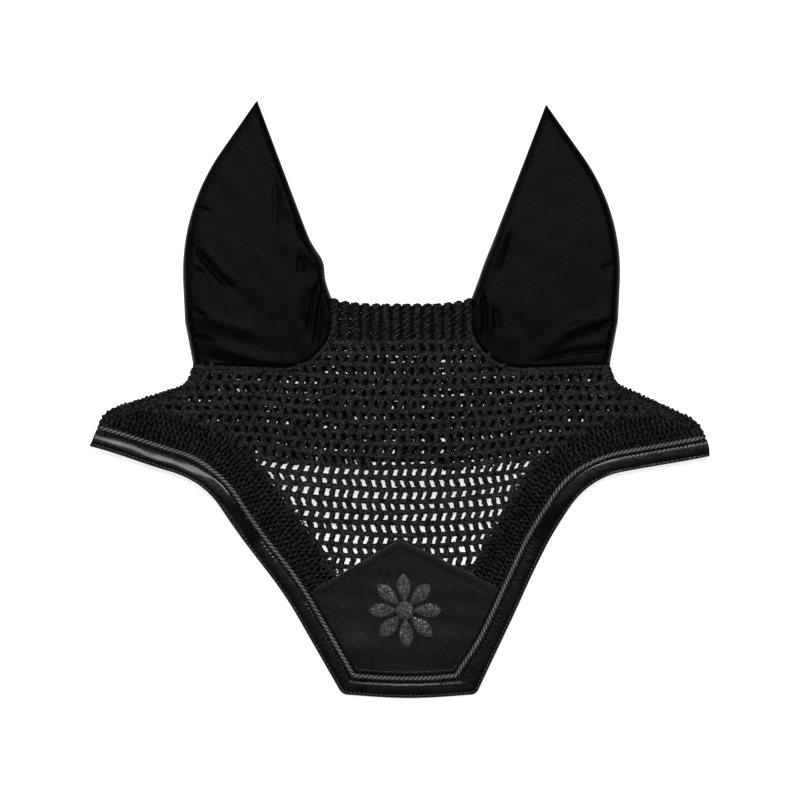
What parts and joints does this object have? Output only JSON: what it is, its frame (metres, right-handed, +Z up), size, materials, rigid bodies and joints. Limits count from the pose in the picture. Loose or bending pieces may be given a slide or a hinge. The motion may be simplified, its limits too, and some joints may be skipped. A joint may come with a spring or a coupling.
{
  "type": "horse ear bonnet",
  "caption": "Crocheted ear bonnet laid flat: net forehead over a poll panel, two stretch ear sleeves, rope trim, glossy padded binding and a cloth shield.",
  "frame": {"origin": "middle of the bonnet's overall box, on the surface it lies on", "axes": "+X to the viewer's right across the bonnet, +Y from the hem towards the ear tips, +Z up off the surface"},
  "size_m": [0.524, 0.508, 0.018],
  "materials": {
    "crochet_cotton": "matte twisted cotton yarn",
    "stretch_cloth": "stretch knit, faint sheen",
    "patent_leather": "glossy coated leather",
    "twisted_rope": "satin twisted cord",
    "shield_satin": "matte satin",
    "glitter_film": "fine glitter film",
    "overlock_thread": "overlocked thread"
  },
  "bodies": {
    "bonnet": {"forehead_net": "crochet_cotton", "left_side_band": "crochet_cotton", "right_side_band": "crochet_cotton", "crown_band": "crochet_cotton", "poll_panel": "crochet_cotton", "left_wing_fold": "crochet_cotton", "right_wing_fold": "crochet_cotton", "edge_binding": "patent_leather", "binding_wing_strip": "patent_leather", "rope_trim": "twisted_rope", "shield_panel": "shield_satin", "shield_motif": "glitter_film", "left_ear_base_front": "stretch_cloth", "left_ear_base_back": "stretch_cloth", "left_ear_front_seam": "overlock_thread", "left_ear_back_seam": "overlock_thread", "right_ear_base_front": "stretch_cloth", "right_ear_base_back": "stretch_cloth", "right_ear_front_seam": "overlock_thread", "right_ear_back_seam": "overlock_thread"},
    "left_ear": {"left_ear_front_panel": "stretch_cloth", "left_ear_back_panel": "stretch_cloth"},
    "right_ear": {"right_ear_front_panel": "stretch_cloth", "right_ear_back_panel": "stretch_cloth"}
  },
  "joints": [
    {"name": "left_ear_fold", "type": "hinge", "parent": "bonnet", "child": "left_ear", "pos_m": [-0.125, 0.09, 0.013], "axis": [1, 0, 0], "range_deg": [0, 160]},
    {"name": "right_ear_fold", "type": "hinge", "parent": "bonnet", "child": "right_ear", "pos_m": [0.125, 0.09, 0.013], "axis": [1, 0, 0], "range_deg": [0, 160]}
  ]
}
